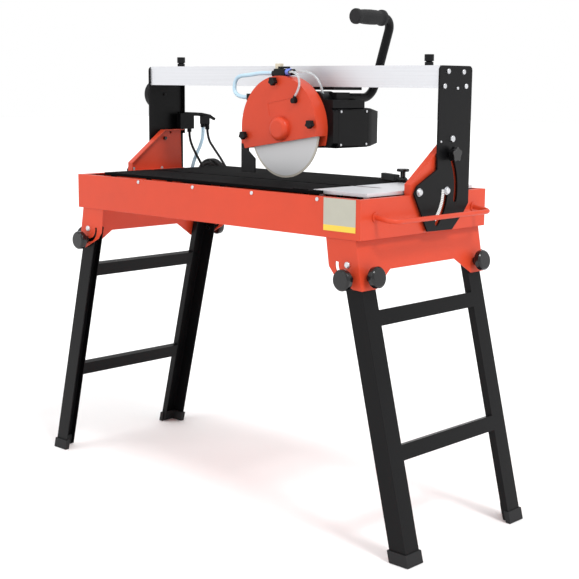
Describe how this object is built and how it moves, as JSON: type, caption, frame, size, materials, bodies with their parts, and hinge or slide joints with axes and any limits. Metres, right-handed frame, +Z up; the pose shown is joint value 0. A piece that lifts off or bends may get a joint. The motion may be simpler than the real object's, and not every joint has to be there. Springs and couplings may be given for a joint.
{
  "type": "tile cutter",
  "caption": "Bridge tile saw on folding legs: a tub and table under a tilting beam, a sliding plunging head with guard, blade and motor, and a fence.",
  "frame": {"origin": "centre of the footprint box on the floor", "axes": "+Z up, +X along the tub, the operator stands at -Y"},
  "size_m": [1.3992, 0.5735, 1.314],
  "materials": {
    "orange_paint": "powder coat, semi gloss",
    "black_paint": "powder coat, satin",
    "aluminium": "anodised, satin",
    "zinc": "zinc plated",
    "label": "satin",
    "black_plastic": "moulded, fine grain",
    "black_gloss": "gloss",
    "black_rubber": "matte",
    "grey_rubber": "matte",
    "blue_hose": "smooth",
    "clear_tube": "clear gloss",
    "blade_steel": "ground, tan rim"
  },
  "bodies": {
    "base": {"tub": "orange_paint", "table_front": "black_paint", "table_rear": "black_paint", "end_plate": "aluminium", "bracket_right": "orange_paint", "bracket_left": "orange_paint", "gussets": "orange_paint", "carry_rail": "orange_paint", "tub_bolts": "zinc", "label_plate": "label", "pump": "black_plastic", "hose_arm": "black_paint", "supply_hose": "blue_hose", "pump_lead": "black_rubber", "mains_cord": "black_rubber", "mains_coil": "black_rubber", "mains_plug": "black_plastic"},
    "legs_right": {"leg_frame_right": "black_paint", "feet_right": "black_rubber"},
    "legs_left": {"leg_frame_left": "black_paint", "feet_left": "black_rubber"},
    "gantry": {"post_right": "black_paint", "post_left": "black_paint", "beam": "aluminium", "gantry_bolts": "zinc"},
    "carriage": {"carriage": "black_paint"},
    "head": {"arm": "black_paint", "guard_back": "orange_paint", "guard_front": "orange_paint", "motor": "black_paint", "fan_cover": "black_plastic", "handle_tube": "black_paint", "grip": "black_rubber", "splash_flap": "black_rubber", "fittings": "black_plastic", "head_hose": "blue_hose", "guard_tube": "clear_tube", "spray_tube": "clear_tube"},
    "blade": {"blade": "blade_steel", "spindle": "zinc"},
    "leg_knob_right_front": {"leg_knob_right_front": "black_gloss"},
    "end_knob_right_front": {"end_knob_right_front": "black_gloss"},
    "leg_knob_right_back": {"leg_knob_right_back": "black_gloss"},
    "end_knob_right_back": {"end_knob_right_back": "black_gloss"},
    "leg_knob_left_front": {"leg_knob_left_front": "black_gloss"},
    "end_knob_left_front": {"end_knob_left_front": "black_gloss"},
    "leg_knob_left_back": {"leg_knob_left_back": "black_gloss"},
    "end_knob_left_back": {"end_knob_left_back": "black_gloss"},
    "bevel_knob_right": {"bevel_knob_right": "black_gloss"},
    "bevel_knob_left": {"bevel_knob_left": "black_gloss"},
    "post_knob": {"post_knob": "black_plastic"},
    "stop_knob_right": {"stop_knob_right": "black_plastic"},
    "stop_knob_left": {"stop_knob_left": "black_plastic"},
    "guard_knob_top": {"guard_knob_top": "black_plastic"},
    "guard_knob_right": {"guard_knob_right": "black_plastic"},
    "guard_knob_left": {"guard_knob_left": "black_plastic"},
    "tap_lever": {"tap_lever": "black_plastic"},
    "fence_slide": {"fence_slide": "black_paint"},
    "fence_bar": {"fence_bar": "grey_rubber"},
    "fence_knob": {"fence_knob": "black_gloss"}
  },
  "joints": [
    {"name": "legs_right_fold", "type": "hinge", "parent": "base", "child": "legs_right", "pos_m": [0.5, 0, 0.7], "axis": [0, 1, 0], "range_deg": [0, 103]},
    {"name": "legs_left_fold", "type": "hinge", "parent": "base", "child": "legs_left", "pos_m": [-0.5, 0, 0.7], "axis": [0, -1, 0], "range_deg": [0, 88]},
    {"name": "gantry_tilt", "type": "hinge", "parent": "base", "child": "gantry", "pos_m": [0, -0.045, 0.863], "axis": [1, 0, 0], "range_deg": [0, 45]},
    {"name": "carriage_travel", "type": "slide", "parent": "gantry", "child": "carriage", "axis": [1, 0, 0], "range_m": [-0.45, 0.255]},
    {"name": "head_plunge", "type": "hinge", "parent": "carriage", "child": "head", "pos_m": [-0.055, 0, 1.07], "axis": [0, 1, 0], "range_deg": [0, 12], "stiffness_Nm_per_rad": 50, "springref_deg": -80.21},
    {"name": "blade_spin", "type": "hinge", "parent": "head", "child": "blade", "pos_m": [0.097, -0.045, 0.998], "axis": [0, -1, 0], "continuous": true},
    {"name": "leg_knob_right_front_turn", "type": "hinge", "parent": "legs_right", "child": "leg_knob_right_front", "pos_m": [0.50811, -0.2465, 0.66698], "axis": [0, -1, 0], "continuous": true},
    {"name": "end_knob_right_front_turn", "type": "hinge", "parent": "base", "child": "end_knob_right_front", "pos_m": [0.53732, -0.213, 0.669], "axis": [0.9833, 0, 0.1818], "continuous": true},
    {"name": "leg_knob_right_back_turn", "type": "hinge", "parent": "legs_right", "child": "leg_knob_right_back", "pos_m": [0.50811, 0.2465, 0.66698], "axis": [0, 1, 0], "continuous": true},
    {"name": "end_knob_right_back_turn", "type": "hinge", "parent": "base", "child": "end_knob_right_back", "pos_m": [0.53732, 0.213, 0.669], "axis": [0.9833, 0, 0.1818], "continuous": true},
    {"name": "leg_knob_left_front_turn", "type": "hinge", "parent": "legs_left", "child": "leg_knob_left_front", "pos_m": [-0.50811, -0.2465, 0.66698], "axis": [0, -1, 0], "continuous": true},
    {"name": "end_knob_left_front_turn", "type": "hinge", "parent": "base", "child": "end_knob_left_front", "pos_m": [-0.53732, -0.213, 0.669], "axis": [-0.9833, 0, 0.1818], "continuous": true},
    {"name": "leg_knob_left_back_turn", "type": "hinge", "parent": "legs_left", "child": "leg_knob_left_back", "pos_m": [-0.50811, 0.2465, 0.66698], "axis": [0, 1, 0], "continuous": true},
    {"name": "end_knob_left_back_turn", "type": "hinge", "parent": "base", "child": "end_knob_left_back", "pos_m": [-0.53732, 0.213, 0.669], "axis": [-0.9833, 0, 0.1818], "continuous": true},
    {"name": "bevel_knob_right_turn", "type": "hinge", "parent": "base", "child": "bevel_knob_right", "pos_m": [0.5505, 0.07716, 0.95176], "axis": [1, 0, 0], "continuous": true},
    {"name": "bevel_knob_left_turn", "type": "hinge", "parent": "base", "child": "bevel_knob_left", "pos_m": [-0.5505, 0.07716, 0.95176], "axis": [-1, 0, 0], "continuous": true},
    {"name": "post_knob_turn", "type": "hinge", "parent": "gantry", "child": "post_knob", "pos_m": [-0.5505, 0.087, 1.085], "axis": [-1, 0, 0], "continuous": true},
    {"name": "stop_knob_right_turn", "type": "hinge", "parent": "gantry", "child": "stop_knob_right", "pos_m": [0.469, 0.088, 1.1683], "axis": [0, 0, 1], "continuous": true},
    {"name": "stop_knob_left_turn", "type": "hinge", "parent": "gantry", "child": "stop_knob_left", "pos_m": [-0.469, 0.088, 1.1683], "axis": [0, 0, 1], "continuous": true},
    {"name": "guard_knob_top_turn", "type": "hinge", "parent": "head", "child": "guard_knob_top", "pos_m": [0.08419, -0.0695, 1.12653], "axis": [0, -1, 0], "continuous": true},
    {"name": "guard_knob_right_turn", "type": "hinge", "parent": "head", "child": "guard_knob_right", "pos_m": [0.21808, -0.0695, 1.01811], "axis": [0, -1, 0], "continuous": true},
    {"name": "guard_knob_left_turn", "type": "hinge", "parent": "head", "child": "guard_knob_left", "pos_m": [-0.02712, -0.0695, 0.98147], "axis": [0, -1, 0], "continuous": true},
    {"name": "tap_turn", "type": "hinge", "parent": "head", "child": "tap_lever", "pos_m": [0.081, -0.045, 1.16], "axis": [0, 0, 1], "range_deg": [0, 90]},
    {"name": "fence_travel", "type": "slide", "parent": "base", "child": "fence_slide", "axis": [0, 1, 0], "range_m": [-0.28, 0.02]},
    {"name": "fence_swing", "type": "hinge", "parent": "fence_slide", "child": "fence_bar", "pos_m": [0.345, 0.15, 0.872], "axis": [0, 0, 1], "range_deg": [-20, 24]},
    {"name": "fence_knob_turn", "type": "hinge", "parent": "fence_slide", "child": "fence_knob", "pos_m": [0.345, 0.15, 0.8765], "axis": [0, 0, 1], "continuous": true}
  ]
}
